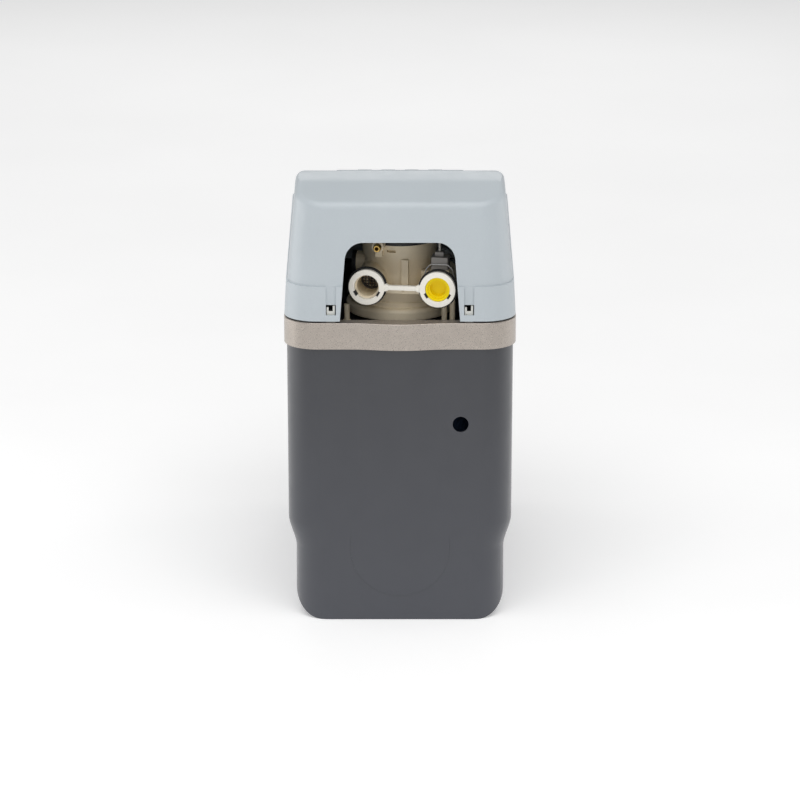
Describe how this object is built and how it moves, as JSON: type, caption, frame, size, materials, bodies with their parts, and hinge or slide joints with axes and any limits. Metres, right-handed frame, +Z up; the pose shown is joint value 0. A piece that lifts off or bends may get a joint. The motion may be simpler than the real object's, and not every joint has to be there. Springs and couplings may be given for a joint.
{
  "type": "compact water softener",
  "caption": "Compact domestic water softener: tall dark tub, metal-look rim band, pale rear cover with a service cut-out over a motor-driven control head, hinged salt lid.",
  "frame": {"origin": "on the floor under the middle of the cabinet's bounding box", "axes": "+Z up, -Y to the service side with the pipe ports, +Y to the user's side with the salt lid"},
  "size_m": [0.27, 0.48, 0.52],
  "materials": {
    "tub": "fine matte grain, dark slate grey",
    "band": "warm silver with a fine sparkle",
    "cover": "pale blue-grey, satin",
    "black_plastic": "matte",
    "white_plastic": "satin",
    "steel": "brushed",
    "rubber": "matte",
    "panel": "smooth satin black",
    "glass": "clear",
    "lcd": "grey-green display face",
    "board": "circuit board green",
    "button": "soft satin grey",
    "tank": "wound glass-fibre shell, blue-grey",
    "resin": "amber bead bed",
    "head_beige": "glass-filled moulding, satin",
    "ring_cream": "satin cream",
    "yellow": "bright, slightly glossy",
    "sensor_grey": "satin grey",
    "brass": "plain",
    "ceramic": "ground",
    "gear": "natural acetal",
    "float": "satin red-orange",
    "line": "milky polyethylene",
    "cable": "thin pale sheath"
  },
  "bodies": {
    "cabinet": {"cabinet_tub": "tub", "rim_band": "band", "head_tray": "black_plastic", "rear_cover": "cover", "lid_hinge_pins": "steel", "lid_bumpers": "rubber", "snap_hooks": "white_plastic", "panel_bezel": "panel", "display_window": "glass", "display_module": "lcd", "control_board": "board", "panel_screws": "steel", "resin_tank": "tank", "resin_bed": "resin", "riser_tube": "tank", "bottom_strainer": "black_plastic", "top_strainer": "black_plastic", "neck_clamp": "steel", "clamp_screws": "steel", "valve_base": "head_beige", "neck_seal": "rubber", "valve_body": "head_beige", "port_yoke": "ring_cream", "inlet_screen": "steel", "turbine_cage": "white_plastic", "flow_sensor": "sensor_grey", "sensor_clip": "steel", "valve_cover": "head_beige", "drain_barb": "brass", "rotor_seal": "rubber", "gear_plate": "black_plastic", "motor_bridge": "steel", "bridge_screws": "steel", "drive_motor": "steel", "position_switch": "black_plastic", "cover_screws": "steel", "injector_cap": "black_plastic", "injector_nozzle": "brass", "head_posts": "head_beige", "brine_well": "white_plastic", "well_cap": "white_plastic", "brine_valve": "white_plastic", "pickup_tube": "white_plastic", "brine_line": "line", "sensor_cable": "cable"},
    "lid": {"salt_lid": "cover"},
    "left_key": {"left_button": "button"},
    "down_key": {"down_button": "button"},
    "up_key": {"up_button": "button"},
    "right_key": {"right_button": "button"},
    "rotor": {"rotor_disc": "ceramic", "wave_washer": "steel", "drive_gear": "gear"},
    "pinion": {"motor_pinion": "brass"},
    "turbine": {"flow_turbine": "white_plastic"},
    "plug": {"transit_plug": "yellow"},
    "float": {"float_and_rod": "float"}
  },
  "joints": [
    {"name": "lid_hinge", "type": "hinge", "parent": "cabinet", "child": "lid", "pos_m": [0, 0.06193, 0.45983], "axis": [1, 0, 0], "range_deg": [0, 95]},
    {"name": "left_press", "type": "slide", "parent": "cabinet", "child": "left_key", "axis": [0, -0.2588, -0.9659], "range_m": [0, 0.0014], "stiffness_N_per_m": 300, "springref_m": -0.0006},
    {"name": "down_press", "type": "slide", "parent": "cabinet", "child": "down_key", "axis": [0, -0.2588, -0.9659], "range_m": [0, 0.0014], "stiffness_N_per_m": 300, "springref_m": -0.0006},
    {"name": "up_press", "type": "slide", "parent": "cabinet", "child": "up_key", "axis": [0, -0.2588, -0.9659], "range_m": [0, 0.0014], "stiffness_N_per_m": 300, "springref_m": -0.0006},
    {"name": "right_press", "type": "slide", "parent": "cabinet", "child": "right_key", "axis": [0, -0.2588, -0.9659], "range_m": [0, 0.0014], "stiffness_N_per_m": 300, "springref_m": -0.0006},
    {"name": "rotor_spin", "type": "hinge", "parent": "cabinet", "child": "rotor", "pos_m": [0, -0.125, 0.41], "axis": [0, 0, 1], "continuous": true},
    {"name": "pinion_spin", "type": "hinge", "parent": "cabinet", "child": "pinion", "pos_m": [0.00626, -0.08044, 0.446], "axis": [0, 0, 1], "continuous": true},
    {"name": "turbine_spin", "type": "hinge", "parent": "cabinet", "child": "turbine", "pos_m": [0.048, -0.18224, 0.398], "axis": [-0.1392, -0.9903, 0], "continuous": true},
    {"name": "plug_pull", "type": "slide", "parent": "cabinet", "child": "plug", "axis": [-0.1392, -0.9903, 0], "range_m": [0, 0.045]},
    {"name": "float_rise", "type": "slide", "parent": "cabinet", "child": "float", "axis": [0, 0, 1], "range_m": [0, 0.015]}
  ],
  "couplings": [
    {"joint": "pinion_spin", "follows": "rotor_spin", "ratio": -4}
  ]
}
